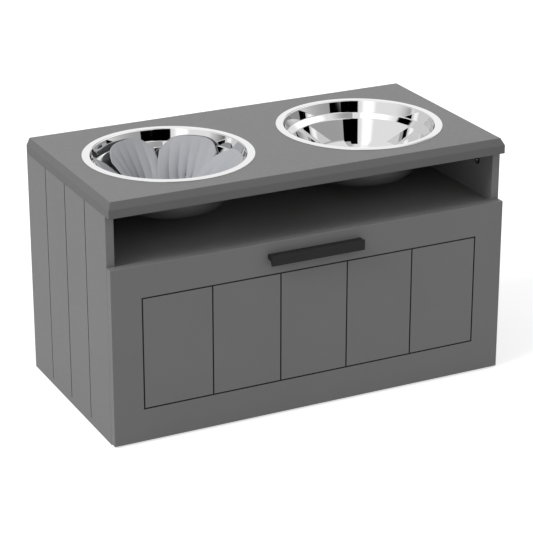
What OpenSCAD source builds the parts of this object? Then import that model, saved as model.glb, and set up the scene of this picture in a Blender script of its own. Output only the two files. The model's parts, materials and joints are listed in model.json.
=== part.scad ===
// Elevated pet feeder: a table top with two lift-out bowls over an open niche
// and a storage drawer on roller runners. Millimetres, +Z up. The origin is on
// the floor under the middle of the table top, and the drawer opens towards -Y.

/* [Cabinet] */
// Width of the table top and of the cabinet
cabinet_w = 600; // [560:5:800]
// Depth of the table top, front face to back face
cabinet_d = 300; // [270:5:400]
// Height of the table top's upper face above the floor
cabinet_h = 350; // [300:5:500]
// Thickness of the side, shelf and bottom boards
board_t = 12; // [11:0.5:18]
// Thickness of the table top
top_t = 22; // [16:0.5:30]
// How far the table top's chamfer cuts in from its edge
chamfer_in = 5; // [2:0.5:12]
// How far the table top's chamfer cuts down from its upper face
chamfer_down = 10; // [3:0.5:14]
// Thickness of the back board
back_t = 5; // [4:0.5:9]
// Clear height of the open niche under the table top
niche_h = 73; // [64:1:110]

/* [Planked look] */
// Width of a plank groove at the surface
groove_w = 2; // [1:0.25:4]
// Depth of a plank groove
groove_depth = 1.5; // [0.5:0.25:2.5]
// Number of planks on each side board
side_planks = 4; // [2:1:8]
// Height above the floor at which the side grooves stop
side_groove_foot = 10; // [4:1:40]
// Number of planks inside the drawer front's grooved frame
front_planks = 5; // [2:1:9]
// Width of the plain stile at each end of the drawer front
stile_w = 44.5; // [24:0.5:80]
// Height of the plain rail above the grooved frame
upper_rail = 47; // [38:1:70]
// Height of the plain rail below the grooved frame
lower_rail = 48; // [20:1:70]

/* [Drawer] */
// Thickness of the drawer front
front_t = 12; // [11:0.5:20]
// Gap between the closed drawer front and the cabinet's front edges
front_gap = 0.5; // [0.3:0.1:2]
// Gap between the drawer front's lower edge and the floor
front_foot_gap = 2; // [1:0.5:8]
// How far the drawer front stands above the shelf
front_rise = 2; // [0:0.5:8]
// Thickness of the drawer's side and back boards
drawer_board_t = 12; // [11:0.5:16]
// Thickness of the drawer's bottom panel
drawer_panel_t = 3; // [2.5:0.5:6]
// Depth of the grooves that hold the drawer's bottom panel
panel_groove = 5; // [3:0.5:6]
// Height of the bottom panel above the drawer's lower edge
panel_lift = 8; // [6:0.5:16]
// Clear height between the drawer's upper edge and the shelf
drawer_head_room = 22; // [6:1:60]
// Clear length between the drawer and the back board
drawer_back_room = 16; // [6:1:40]

/* [Runners] */
// Sheet thickness of the runners
runner_t = 1; // [0.8:0.1:1.5]
// Height of the runners above the bottom board
runner_lift = 4; // [2:0.5:12]
// Distance from the cabinet's front edge back to its runners
runner_setback = 2; // [1:0.5:6]
// How much shorter a runner is than the drawer side
runner_tail = 17; // [10:1:60]
// Outer radius of a roller
roller_r = 7; // [5:0.25:9]
// Width of a roller
roller_w = 5; // [4:0.25:7]
// Room on each side of a roller for pin heads and screw heads
roller_side_room = 2.75; // [2.5:0.25:5]
// Radius of the pins that the rollers turn on
pin_r = 2.5; // [1.5:0.25:3.5]
// Running clearance of a roller on its pin and on its track
run_gap = 0.05; // [0.02:0.01:0.1]

/* [Handle] */
// Length of the drawer handle
handle_l = 142; // [80:1:300]
// Height of the handle's front lip
handle_h = 15; // [12:0.5:24]
// How far the handle stands out from the drawer front
handle_out = 13; // [9:0.5:25]
// Thickness of the handle's front lip
handle_lip_t = 2; // [1.5:0.25:4]
// Distance from the drawer front's upper edge down to the handle
handle_drop = 15; // [6:1:20]
// Distance between the handle's two screws
handle_screw_pitch = 128; // [64:1:280]

/* [Bowls] */
// Distance between the middles of the two bowls
bowl_pitch = 297; // [260:1:320]
// Inner radius of a bowl at its rim
bowl_r = 108; // [90:0.5:112]
// Width of the rim that rests on the table top
rim_w = 11; // [8:0.5:16]
// How far the rim rises from its edge to the bowl's mouth
rim_h = 0.4; // [0.2:0.1:4]
// Depth of a bowl below the table top's upper face
bowl_depth = 71; // [60:1:80]
// Height of the steep wall under the rim
bowl_wall_h = 16; // [12:1:28]
// How far the steep wall draws in
bowl_wall_in = 4; // [1:0.5:8]
// Width of the sloping ledge inside a bowl
ledge_w = 8; // [4:0.5:16]
// Drop of the sloping ledge
ledge_drop = 7; // [1:0.5:8]
// Radius at which the basin's wall would meet its floor
basin_r = 80; // [60:1:86]
// Radius of the round corner between the basin's wall and floor
basin_corner = 28; // [10:1:38]
// Sheet thickness of the bowls
steel_t = 0.8; // [0.5:0.1:1.5]
// Gap between a bowl and its hole in the table top
hole_gap = 2; // [1:0.25:4]

/* [Slow-feed insert] */
// Number of petals
petals = 6; // [4:1:8]
// Turn of the first petal from the +X direction
petal_turn = 46; // [0:1:60]
// Gap between the petals' tips and the bowl's wall
petal_tip_gap = 8; // [7:0.5:20]
// Depth of the petals' tops below the table top's upper face
petal_drop = 6; // [4:1:20]
// Width of a petal at its widest place
petal_w = 90; // [60:1:92]
// Width of a petal at its foot
petal_foot_w = 34; // [28:1:40]
// Distance from the bowl's floor corner in to the petals' feet
petal_foot_gap = 15; // [14:0.5:30]
// Thickness of a petal
petal_t = 2.4; // [1.5:0.1:4]
// Number of pleats on a petal
petal_pleats = 6; // [3:1:8]
// Height of a pleat at the petal's foot
pleat_h = 2; // [0.5:0.25:2.5]
// Thickness of the insert's round base
hub_t = 3; // [2:0.5:5]
// Radius of the suction cup
cup_r = 19; // [14:0.5:22]
// Height of the suction cup under the insert's base
cup_h = 7; // [5:0.5:10]

/* [Fasteners] */
// Radius of a cam disc
cam_r = 6; // [5:0.25:7.5]
// Board left uncut behind a cam disc
cam_floor = 2.5; // [1.5:0.25:5]
// Distance from a joint to the middle of its cam disc
cam_reach = 24; // [20:1:34]
// Radius of a cam bolt's shaft
bolt_r = 2.2; // [1.5:0.1:2.4]
// Radius of a cam bolt's head and of its thread
bolt_head_r = 3; // [2.6:0.1:3.3]
// Depth of a cam bolt's thread in its board
bolt_thread_l = 8; // [6:0.5:8.5]
// Radius of a dowel
dowel_r = 3; // [2:0.25:4]
// Length of a dowel in a board's edge
dowel_l = 16; // [10:1:25]
// Radius of a wood screw
screw_r = 1.6; // [1.2:0.1:2]
// Length of a wood screw in the board that holds it
screw_l = 14; // [10:1:20]
// Radius of a wood screw's head
screw_head_r = 3.2; // [2.4:0.1:3.6]
// Radius of the handle's machine screws
handle_screw_r = 2; // [1.5:0.25:2.5]
// Distance from a board's end to the first joint
joint_inset = 40; // [30:1:60]
// Distance from a cam joint to the dowel beside it
dowel_pitch = 32; // [24:1:40]
// Clearance of a fastener in its hole
fit_gap = 0.1; // [0.05:0.05:0.3]

/* [Hidden] */
$fn = 48;
eps = 0.01;

// Levels of the cabinet, from the floor up
top_under = cabinet_h - top_t;
shelf_top = top_under - niche_h;
shelf_under = shelf_top - board_t;
front_low = front_foot_gap;
front_high = shelf_top + front_rise;
runner_z = board_t + runner_lift;
roller_room = 1;
runner_h = 2 * runner_t + 2 * roller_r + roller_room;
flange_gap = 0.5;
sole_rise = 3;
flange_under = runner_z + runner_h + flange_gap;
drawer_low = runner_z + sole_rise;
drawer_high = shelf_under - drawer_head_room;
panel_z = drawer_low + panel_lift;
panel_play = 0.5;

// Places along Y, front to back
face_y = -cabinet_d / 2;
front_back_y = face_y + front_t;
edge_y = front_back_y + front_gap;
rear_y = cabinet_d / 2;
back_y = rear_y - back_t;
drawer_end_y = back_y - drawer_back_room;
drawer_l = drawer_end_y - front_back_y;
runner_l = drawer_l - runner_tail;
runner_y = edge_y + runner_setback;

// Places along X, measured from the middle
side_in = cabinet_w / 2 - board_t;
runner_gap = 2 * runner_t + roller_w + 2 * roller_side_room;
drawer_out = side_in - runner_gap;
drawer_in = drawer_out - drawer_board_t;
roller_x = side_in - runner_gap / 2;

// Rollers: the cabinet's sit at the front, the drawer's at the rear
roller_inset = 3;
roller_end = roller_r + roller_inset;
flange_trim = 1;
lip_trim = 2;
front_roller = [roller_x, runner_y + roller_end, flange_under - run_gap - roller_r];
rear_roller = [roller_x, front_back_y + runner_l - roller_end, runner_z + runner_t + run_gap + roller_r];
stop_h = 2;
stop_l = 4;
stop_clear = 6;
stop_y = front_roller[1] + roller_r + stop_clear;
pin_head_t = 0.9;
pin_flare = 1.1;
pin_head_r = pin_r + pin_flare;
pin_play = 0.2;

// Fastener places
joint_ys = [edge_y + joint_inset, back_y - joint_inset];
dowel_ys = [joint_ys[0] + dowel_pitch, joint_ys[1] - dowel_pitch];
shelf_mid = shelf_under + board_t / 2;
bottom_mid = board_t / 2;
drawer_joint_inset = 24;
drawer_joint_zs = [panel_z + drawer_panel_t + drawer_joint_inset, drawer_high - drawer_joint_inset];
drawer_dowel_z = (drawer_joint_zs[0] + drawer_joint_zs[1]) / 2;
back_screw_xs = [for (i = [-3:2:3]) i * side_in / 4];
runner_screws = 3;
runner_screw_ys = [for (i = [1:runner_screws]) runner_y + runner_l * (i - 0.35) / 3.3];
screw_cover = 2.5;
runner_screw_l = board_t - groove_depth - screw_cover;
sole_screw_cover = 1;
sole_screw_l = runner_t + panel_lift - sole_screw_cover;
head_t = 1.3;
head_taper = 0.8;
slot_w = 0.8;
slot_deep = 0.7;
slot_span = 1.1;
cut_over = 1;

// Cam fittings: the bolt's head sits in a slot in the disc
cam_head_l = 3;
cam_head_gap = 0.2;
cam_slot_over = 2.5;
cam_cross_l = 6;
cam_cross_w = 1.2;
cam_cross_deep = 1.5;

// Handle: the web's height takes the screws
web_h = 7;
web_drop = 1;
tap_floor = 1;
tip_room = 0.5;
hollow_round = 0.7;
handle_high = front_high - handle_drop;
web_high = handle_high - web_drop;
handle_screw_z = web_high - web_h / 2;
handle_tap = handle_out - handle_lip_t - tap_floor;

// Bowls
hole_r = bowl_r + steel_t + hole_gap;
bowl_floor = cabinet_h - bowl_depth;
hub_z = bowl_floor + cup_h;
rim_inner_r = 2;
wall_foot_r = 3;
ledge_edge_r = 4;
arc_step = 12;

// Insert
petal_tip_r = bowl_r - petal_tip_gap;
petal_foot_r = basin_r - petal_foot_gap;
hub_edge = 3;
hub_r = petal_foot_r + hub_edge;
petal_foot_z = hub_z + hub_t / 3;
petal_tip_z = cabinet_h - petal_drop;
petal_across = 2 * petal_pleats;
petal_up = 8;
petal_fall = 0.29;
petal_corner = 3.15;
petal_spread = 0.46;
petal_lean = 1.41;
petal_scoop = 30;
petal_lead = 5;
petal_step = 0.01;
stem_r = 4;
knob_r = 6.5;
knob_h = 4;
cup_edge = 1.5;
cup_slope = 5;
cup_flat = 8;
cup_wall = 2;

paint = [0.42, 0.42, 0.42];
dark_line = [0.36, 0.36, 0.36];
zinc = [0.72, 0.73, 0.75];
steel = [0.82, 0.82, 0.83];
timber = [0.80, 0.68, 0.50];
nylon = [0.93, 0.93, 0.90];
black = [0.09, 0.09, 0.10];
lavender = [0.66, 0.66, 0.70];

// A straight block between its lowest and its highest corner
module block(low, high) {
    translate(low) cube(high - low);
}

// An outline of (Y, Z) points, carried along X around the middle
module along_x(length) {
    rotate([90, 0, 90]) linear_extrude(height = length, center = true) children();
}

// An outline of (X, Z) points, carried along Y around the middle
module along_y(length) {
    rotate([90, 0, 0]) linear_extrude(height = length, center = true) children();
}

// The same shape on the right and mirrored on the left
module both_sides() {
    children();
    mirror([1, 0, 0]) children();
}

// A V-shaped cutter that lies along Z, pointing towards -X from the plane x = 0
module groove_cutter(length) {
    linear_extrude(height = length)
        polygon([[eps, -groove_w / 2], [eps, groove_w / 2], [0, groove_w / 2],
                 [-groove_depth, 0], [0, -groove_w / 2]]);
}

// Joint frames: z = 0 is where two boards meet, +Z runs into the board that
// holds the cam disc, and +X points to the face that the disc is set into
module top_joints(ys) {
    for (side = [-1, 1], y = ys)
        translate([side * (side_in + board_t / 2), y, top_under])
            rotate(side > 0 ? [0, 180, 0] : [180, 0, 0]) children();
}

module level_joints(ys, z) {
    for (side = [-1, 1], y = ys)
        translate([side * side_in, y, z])
            rotate(side > 0 ? [180, 90, 0] : [0, 90, 0]) children();
}

module drawer_joints(zs) {
    for (side = [-1, 1], z = zs)
        translate([side * (drawer_in + drawer_board_t / 2), front_back_y, z])
            rotate([-90, 0, 0]) rotate([0, 0, side > 0 ? 180 : 0]) children();
}

module cam_bolt() {
    translate([0, 0, -bolt_thread_l]) cylinder(r = bolt_head_r, h = bolt_thread_l);
    cylinder(r = bolt_r, h = cam_reach);
    translate([0, 0, cam_reach - cam_head_l / 2]) cylinder(r = bolt_head_r, h = cam_head_l);
}

module bolt_hole() {
    translate([0, 0, -bolt_thread_l - fit_gap])
        cylinder(r = bolt_head_r + fit_gap, h = bolt_thread_l + fit_gap + eps);
}

module cam_disc(board) {
    depth = board - cam_floor;
    difference() {
        translate([board / 2 - depth, 0, cam_reach]) rotate([0, 90, 0]) cylinder(r = cam_r, h = depth);
        translate([0, 0, cam_reach - cam_r - cut_over])
            cylinder(r = bolt_head_r + cam_head_gap, h = cam_r + cut_over + cam_slot_over);
        translate([board / 2, 0, cam_reach]) {
            cube([2 * cam_cross_deep, cam_cross_l, cam_cross_w], center = true);
            cube([2 * cam_cross_deep, cam_cross_w, cam_cross_l], center = true);
        }
    }
}

module cam_hole(board) {
    depth = board - cam_floor;
    translate([board / 2 - depth - fit_gap, 0, cam_reach])
        rotate([0, 90, 0]) cylinder(r = cam_r + fit_gap, h = depth + cut_over);
    translate([0, 0, -eps]) cylinder(r = bolt_head_r + fit_gap, h = cam_reach);
}

module dowel() {
    translate([0, 0, -bolt_thread_l]) cylinder(r = dowel_r, h = bolt_thread_l + dowel_l);
}

module dowel_hole() {
    translate([0, 0, -bolt_thread_l - fit_gap])
        cylinder(r = dowel_r + fit_gap, h = bolt_thread_l + dowel_l + 2 * fit_gap);
}

// A flush-headed screw: its head's face is at z = 0 and it points to -Z
module flush_screw(r, head_r, length) {
    translate([0, 0, -length]) cylinder(r = r, h = length);
    difference() {
        translate([0, 0, r - head_r]) cylinder(r1 = r, r2 = head_r, h = head_r - r);
        cube([head_r * slot_span, slot_w, 2 * slot_deep], center = true);
        cube([slot_w, head_r * slot_span, 2 * slot_deep], center = true);
    }
}

module flush_hole(r, head_r, length) {
    translate([0, 0, -length - fit_gap]) cylinder(r = r + fit_gap, h = length + fit_gap);
    translate([0, 0, r - head_r - fit_gap])
        cylinder(r1 = r + fit_gap, r2 = head_r + fit_gap + eps, h = head_r - r + fit_gap + eps);
}

// A low-headed screw: the head stands on z = 0 and the shank points to -Z
module low_screw(length) {
    translate([0, 0, -length]) cylinder(r = screw_r, h = length);
    difference() {
        cylinder(r1 = screw_head_r, r2 = screw_head_r * head_taper, h = head_t);
        translate([0, 0, head_t]) {
            cube([screw_head_r * slot_span, slot_w, 2 * slot_deep], center = true);
            cube([slot_w, screw_head_r * slot_span, 2 * slot_deep], center = true);
        }
    }
}

module low_screw_hole(length) {
    translate([0, 0, -length - fit_gap]) cylinder(r = screw_r + fit_gap, h = length + fit_gap + cut_over);
}

// Cabinet boards

module top_panel() {
    inner_w = cabinet_w / 2 - chamfer_in;
    shoulder = cabinet_h - chamfer_down;
    color(paint) difference() {
        intersection() {
            along_y(cabinet_d) polygon([
                [-cabinet_w / 2, top_under], [cabinet_w / 2, top_under], [cabinet_w / 2, shoulder],
                [inner_w, cabinet_h], [-inner_w, cabinet_h], [-cabinet_w / 2, shoulder]]);
            along_x(cabinet_w) polygon([
                [face_y, top_under], [rear_y, top_under], [rear_y, cabinet_h],
                [face_y + chamfer_in, cabinet_h], [face_y, shoulder]]);
        }
        both_sides() translate([bowl_pitch / 2, 0, top_under - cut_over])
            cylinder(r = hole_r, h = top_t + 2 * cut_over, $fn = 96);
        top_joints(joint_ys) bolt_hole();
        top_joints(dowel_ys) dowel_hole();
    }
}

module side_panel() {
    plank = (rear_y - edge_y) / side_planks;
    difference() {
        block([side_in, edge_y, 0], [cabinet_w / 2, rear_y, top_under]);
        for (i = [1:side_planks - 1])
            translate([cabinet_w / 2, rear_y - i * plank, side_groove_foot])
                groove_cutter(top_under - side_groove_foot + cut_over);
        top_joints(joint_ys) cam_hole(board_t);
        top_joints(dowel_ys) dowel_hole();
        for (z = [shelf_mid, bottom_mid]) {
            level_joints(joint_ys, z) bolt_hole();
            level_joints([dowel_ys[0]], z) dowel_hole();
        }
        runner_screw_places() low_screw_hole(runner_t + runner_screw_l);
    }
}

module right_side_panel() {
    color(paint) side_panel();
}

module left_side_panel() {
    color(paint) mirror([1, 0, 0]) side_panel();
}

module back_panel() {
    color(dark_line) difference() {
        block([-side_in, back_y, 0], [side_in, rear_y, top_under]);
        back_screw_places() flush_hole(screw_r, screw_head_r, back_t + screw_l);
    }
}

// A level board between the side boards, with cam discs in its underside
module level_board(under) {
    difference() {
        block([-side_in, edge_y, under], [side_in, back_y, under + board_t]);
        level_joints(joint_ys, under + board_t / 2) cam_hole(board_t);
        level_joints([dowel_ys[0]], under + board_t / 2) dowel_hole();
        back_screw_places() flush_hole(screw_r, screw_head_r, back_t + screw_l);
    }
}

module shelf_panel() {
    color(paint) level_board(shelf_under);
}

module bottom_panel() {
    color(paint) level_board(0);
}

module cabinet_cam_bolts() {
    color(zinc) {
        top_joints(joint_ys) cam_bolt();
        for (z = [shelf_mid, bottom_mid]) level_joints(joint_ys, z) cam_bolt();
    }
}

module cabinet_cam_discs() {
    color(zinc) {
        top_joints(joint_ys) cam_disc(board_t);
        for (z = [shelf_mid, bottom_mid]) level_joints(joint_ys, z) cam_disc(board_t);
    }
}

module cabinet_dowels() {
    color(timber) {
        top_joints(dowel_ys) dowel();
        for (z = [shelf_mid, bottom_mid]) level_joints([dowel_ys[0]], z) dowel();
    }
}

module back_screw_places() {
    for (x = back_screw_xs, z = [shelf_mid, bottom_mid])
        translate([x, rear_y, z]) rotate([-90, 0, 0]) children();
}

module back_screws() {
    color(zinc) back_screw_places() flush_screw(screw_r, screw_head_r, back_t + screw_l);
}

// Runners

module runner_screw_places() {
    for (side = [-1, 1], y = runner_screw_ys)
        translate([side * (side_in - runner_t), y, runner_z + runner_h / 2])
            rotate([0, -90 * side, 0]) children();
}

// The cabinet's channel: a web on the side board, a floor that the drawer's
// roller runs on, and a lip over it that stops short of the front roller
module cabinet_runner() {
    flange_w = runner_gap - runner_t - flange_trim;
    end_y = runner_y + runner_l;
    difference() {
        union() {
            block([side_in - runner_t, runner_y, runner_z], [side_in, end_y, runner_z + runner_h]);
            block([side_in - flange_w, runner_y, runner_z], [side_in, end_y, runner_z + runner_t]);
            block([side_in - flange_w + lip_trim, stop_y, runner_z + runner_h - runner_t],
                  [side_in, end_y, runner_z + runner_h]);
            block([roller_x - roller_w / 2, stop_y, runner_z],
                  [roller_x + roller_w / 2, stop_y + stop_l, runner_z + runner_t + stop_h]);
        }
        runner_screw_places() low_screw_hole(runner_t);
        translate(front_roller) rotate([0, 90, 0]) cylinder(r = pin_r + fit_gap, h = runner_gap);
    }
}

module cabinet_right_runner() {
    color(zinc) cabinet_runner();
}

module cabinet_left_runner() {
    color(zinc) mirror([1, 0, 0]) cabinet_runner();
}

module cabinet_runner_screws() {
    color(zinc) runner_screw_places() low_screw(runner_t + runner_screw_l);
}

// A roller pin along +Z: it stands on z = 0 and its shoulder ends at the roller
module roller_pin(root) {
    shoulder = runner_gap / 2 - roller_w / 2 - pin_play;
    head = runner_gap / 2 + roller_w / 2 + pin_play;
    cylinder(r = pin_r, h = head + pin_head_t / 2);
    translate([0, 0, root]) cylinder(r = pin_head_r, h = shoulder - root);
    translate([0, 0, head]) cylinder(r = pin_head_r, h = pin_head_t);
}

module roller() {
    rotate([0, 90, 0]) difference() {
        cylinder(r = roller_r, h = roller_w, center = true, $fn = 64);
        cylinder(r = pin_r + run_gap, h = roller_w + 2 * cut_over, center = true);
    }
}

module cabinet_roller_pins() {
    color(zinc) both_sides()
        translate([side_in, front_roller[1], front_roller[2]]) rotate([0, -90, 0]) roller_pin(runner_t);
}

module front_right_roller() {
    color(nylon) translate(front_roller) roller();
}

module front_left_roller() {
    color(nylon) mirror([1, 0, 0]) translate(front_roller) roller();
}

module drawer_roller_pins() {
    color(zinc) both_sides()
        translate([drawer_out, rear_roller[1], rear_roller[2]]) rotate([0, 90, 0]) roller_pin(runner_t);
}

module rear_right_roller() {
    color(nylon) translate(rear_roller) roller();
}

module rear_left_roller() {
    color(nylon) mirror([1, 0, 0]) translate(rear_roller) roller();
}

module drawer_runner_screw_places() {
    for (side = [-1, 1], i = [1:runner_screws])
        translate([side * (drawer_in + drawer_board_t / 2),
                   front_back_y + runner_l * (i - 0.5) / runner_screws, drawer_low - runner_t])
            rotate([180, 0, 0]) children();
}

// The drawer's runner: a sole under the drawer side, a web up its face and a
// flange on top that rests on the cabinet's front roller
module drawer_runner() {
    end_y = front_back_y + runner_l;
    difference() {
        union() {
            block([drawer_in, front_back_y, drawer_low - runner_t],
                  [drawer_out + runner_t, end_y, drawer_low]);
            block([drawer_out, front_back_y, drawer_low - runner_t],
                  [drawer_out + runner_t, end_y, flange_under + runner_t]);
            block([drawer_out, front_back_y, flange_under],
                  [side_in - runner_t - flange_trim, end_y, flange_under + runner_t]);
        }
        drawer_runner_screw_places() low_screw_hole(sole_screw_l);
        translate(rear_roller) rotate([0, -90, 0]) cylinder(r = pin_r + fit_gap, h = runner_gap);
    }
}

module drawer_right_runner() {
    color(zinc) drawer_runner();
}

module drawer_left_runner() {
    color(zinc) mirror([1, 0, 0]) drawer_runner();
}

module drawer_runner_screws() {
    color(zinc) drawer_runner_screw_places() low_screw(sole_screw_l);
}

// Drawer

// The space of the drawer's bottom panel, made larger by a clearance
module panel_space(gap) {
    reach = panel_groove - panel_play + gap;
    block([-drawer_in - reach, front_back_y - reach, panel_z - gap],
          [drawer_in + reach, drawer_end_y - drawer_board_t + reach, panel_z + drawer_panel_t + gap]);
}

module handle_screw_places() {
    for (side = [-1, 1])
        translate([side * handle_screw_pitch / 2, front_back_y, handle_screw_z])
            rotate([-90, 0, 0]) children();
}

module drawer_front() {
    frame_x = cabinet_w / 2 - stile_w;
    frame_low = front_low + lower_rail;
    frame_high = front_high - upper_rail;
    color(paint) difference() {
        block([-cabinet_w / 2, face_y, front_low], [cabinet_w / 2, front_back_y, front_high]);
        for (i = [0:front_planks])
            translate([-frame_x + 2 * frame_x * i / front_planks, face_y, frame_low])
                rotate([0, 0, -90]) groove_cutter(frame_high - frame_low);
        for (z = [frame_low, frame_high])
            translate([-frame_x - groove_w / 2, face_y, z])
                rotate([0, 90, 0]) rotate([0, 0, -90]) groove_cutter(2 * frame_x + groove_w);
        drawer_joints(drawer_joint_zs) bolt_hole();
        drawer_joints([drawer_dowel_z]) dowel_hole();
        handle_screw_places() flush_hole(handle_screw_r, 2 * handle_screw_r, front_t + handle_tap);
        panel_space(fit_gap);
    }
}

module drawer_side() {
    difference() {
        block([drawer_in, front_back_y, drawer_low], [drawer_out, drawer_end_y, drawer_high]);
        drawer_joints(drawer_joint_zs) cam_hole(drawer_board_t);
        drawer_joints([drawer_dowel_z]) dowel_hole();
        drawer_screw_places() flush_hole(screw_r, screw_head_r, drawer_board_t + screw_l);
        drawer_runner_screw_places() low_screw_hole(sole_screw_l);
        panel_space(fit_gap);
    }
}

module drawer_right_side() {
    color(paint) drawer_side();
}

module drawer_left_side() {
    color(paint) mirror([1, 0, 0]) drawer_side();
}

module drawer_screw_places() {
    for (side = [-1, 1], z = drawer_joint_zs)
        translate([side * drawer_out, drawer_end_y - drawer_board_t / 2, z])
            rotate([0, 90 * side, 0]) children();
}

module drawer_back() {
    color(paint) difference() {
        block([-drawer_in, drawer_end_y - drawer_board_t, drawer_low],
              [drawer_in, drawer_end_y, drawer_high]);
        drawer_screw_places() flush_hole(screw_r, screw_head_r, drawer_board_t + screw_l);
        panel_space(fit_gap);
    }
}

module drawer_bottom() {
    color(dark_line) panel_space(0);
}

module drawer_cam_bolts() {
    color(zinc) drawer_joints(drawer_joint_zs) cam_bolt();
}

module drawer_cam_discs() {
    color(zinc) drawer_joints(drawer_joint_zs) cam_disc(drawer_board_t);
}

module drawer_dowels() {
    color(timber) drawer_joints([drawer_dowel_z]) dowel();
}

module drawer_screws() {
    color(zinc) drawer_screw_places() flush_screw(screw_r, screw_head_r, drawer_board_t + screw_l);
}

// Handle: an extruded pull with a lip in front, a web behind it and a hollow
// for the fingertips under the web
module handle() {
    lip_y = face_y - handle_out;
    hollow = handle_h - web_h - web_drop;
    color(black) difference() {
        along_x(handle_l) polygon(concat(
            [[lip_y, handle_high - handle_h], [lip_y + handle_lip_t, handle_high - handle_h]],
            [for (a = [0:15:90]) [lip_y + handle_lip_t + hollow * hollow_round * (1 - cos(a)),
                                  web_high - web_h - hollow * hollow_round * (1 - sin(a))]],
            [[face_y, web_high - web_h], [face_y, web_high],
             [lip_y + handle_lip_t, web_high], [lip_y + handle_lip_t, handle_high], [lip_y, handle_high]]));
        handle_screw_places() translate([0, 0, -front_t - handle_tap])
            cylinder(r = handle_screw_r + fit_gap, h = front_t + handle_tap);
    }
}

module handle_screws() {
    color(zinc) handle_screw_places()
        flush_screw(handle_screw_r, 2 * handle_screw_r, front_t + handle_tap - tip_room);
}

// Bowls

// A line of points with its inner corners rounded: an arc of the given radius
// touches both legs of a corner
function unit(v) = v / norm(v);
function rounded(points, radii) = [
    for (i = [0:len(points) - 1])
        let (p = points[i], r = radii[i])
        each i == 0 || i == len(points) - 1 || r == 0 ? [p] :
            let (a = unit(points[i - 1] - p), b = unit(points[i + 1] - p),
                 half = acos(max(-1, min(1, a * b))) / 2,
                 middle = p + unit(a + b) * r / sin(half),
                 from = p + a * r / tan(half) - middle,
                 sense = sign(a[0] * b[1] - a[1] * b[0]),
                 steps = ceil((180 - 2 * half) / arc_step))
            [for (k = [0:steps])
                let (t = -sense * (180 - 2 * half) * k / steps)
                middle + [from[0] * cos(t) - from[1] * sin(t), from[0] * sin(t) + from[1] * cos(t)]]
];

// The same line moved sideways by a distance, along the mean of its legs' normals
function moved(line, d) = [
    for (i = [0:len(line) - 1])
        let (a = i == 0 ? line[1] - line[0] : line[i] - line[i - 1],
             b = i == len(line) - 1 ? a : line[i + 1] - line[i],
             n = unit(unit([-a[1], a[0]]) + unit([-b[1], b[0]])))
        line[i] + n * d / max(0.5, n * unit([-a[1], a[0]]))
];

// Radius and height of the bowl's inner surface, from the rim's outer edge in
bowl_line = rounded([
    [bowl_r + rim_w, steel_t],
    [bowl_r, steel_t + rim_h],
    [bowl_r - bowl_wall_in, -bowl_wall_h],
    [bowl_r - bowl_wall_in - ledge_w, -bowl_wall_h - ledge_drop],
    [basin_r, -bowl_depth],
    [0, -bowl_depth]],
    [0, rim_inner_r, wall_foot_r, ledge_edge_r, basin_corner, 0]);

module bowl() {
    outer = moved(bowl_line, steel_t);
    last = len(outer) - 1;
    rotate_extrude($fn = 96) polygon(concat(
        bowl_line,
        [[0, outer[last][1]]],
        [for (i = [last - 1:-1:0]) outer[i]]));
}

module left_bowl() {
    color(steel) translate([-bowl_pitch / 2, 0, cabinet_h]) bowl();
}

module right_bowl() {
    color(steel) translate([bowl_pitch / 2, 0, cabinet_h]) bowl();
}

// Slow-feed insert

// The middle of a petal's sheet: u runs across it from -1 to 1 and v up it from
// 0 to 1. Its foot bends round into a scoop, it widens and leans outwards as it
// rises, its top is rounded, and one side leads the other like a pinwheel's
function petal_sheet(u, v) =
    let (rise = v * (1 - petal_fall * pow(abs(u), petal_corner)),
         half = petal_foot_w / 2 + (petal_w - petal_foot_w) / 2 * pow(rise, petal_spread),
         lean = (petal_tip_r - petal_foot_r) * pow(rise, petal_lean))
    [petal_foot_r + lean - petal_scoop * (1 - rise) * u * u - petal_lead * u, u * half, rise];

// A point on one face of a petal: pleats run up it and fade out towards its top
function petal_point(u, v, back) =
    let (p = petal_sheet(u, v),
         across = petal_sheet(u + petal_step, v) - petal_sheet(u - petal_step, v),
         fold = pleat_h * (1 - p[2]) * (abs(((u + 1) * petal_pleats / 2) % 1 - 0.5) * 2 - 0.5),
         out = unit([across[1], -across[0]]) * (fold + petal_t * (0.5 - back)))
    [p[0] + out[0], p[1] + out[1], petal_foot_z + (petal_tip_z - petal_foot_z) * p[2]];

module petal() {
    cols = petal_across + 1;
    count = cols * (petal_up + 1);
    points = [for (back = [0, 1], j = [0:petal_up], i = [0:petal_across])
        petal_point(-1 + 2 * i / petal_across, j / petal_up, back)];
    quads = concat(
        [for (j = [0:petal_up - 1], i = [0:petal_across - 1])
            [j * cols + i, j * cols + i + 1, (j + 1) * cols + i + 1, (j + 1) * cols + i]],
        [for (j = [0:petal_up - 1], i = [0:petal_across - 1])
            [count + j * cols + i, count + (j + 1) * cols + i,
             count + (j + 1) * cols + i + 1, count + j * cols + i + 1]],
        [for (j = [0:petal_up - 1])
            [j * cols, (j + 1) * cols, count + (j + 1) * cols, count + j * cols]],
        [for (j = [0:petal_up - 1])
            let (e = petal_across)
            [j * cols + e, count + j * cols + e, count + (j + 1) * cols + e, (j + 1) * cols + e]],
        [for (i = [0:petal_across - 1]) [i, count + i, count + i + 1, i + 1]],
        [for (i = [0:petal_across - 1])
            let (t = petal_up * cols)
            [t + i, t + i + 1, count + t + i + 1, count + t + i]]);
    polyhedron(points, [for (q = quads) each [[q[2], q[1], q[0]], [q[3], q[2], q[0]]]], convexity = 8);
}

module insert_petals() {
    color(lavender) translate([-bowl_pitch / 2, 0, 0]) difference() {
        union() {
            translate([0, 0, hub_z]) cylinder(r = hub_r, h = hub_t);
            for (i = [0:petals - 1]) rotate([0, 0, petal_turn + 360 * i / petals]) petal();
        }
        translate([0, 0, hub_z - cut_over]) cylinder(r = stem_r + fit_gap, h = hub_t + 2 * cut_over);
    }
}

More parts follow.
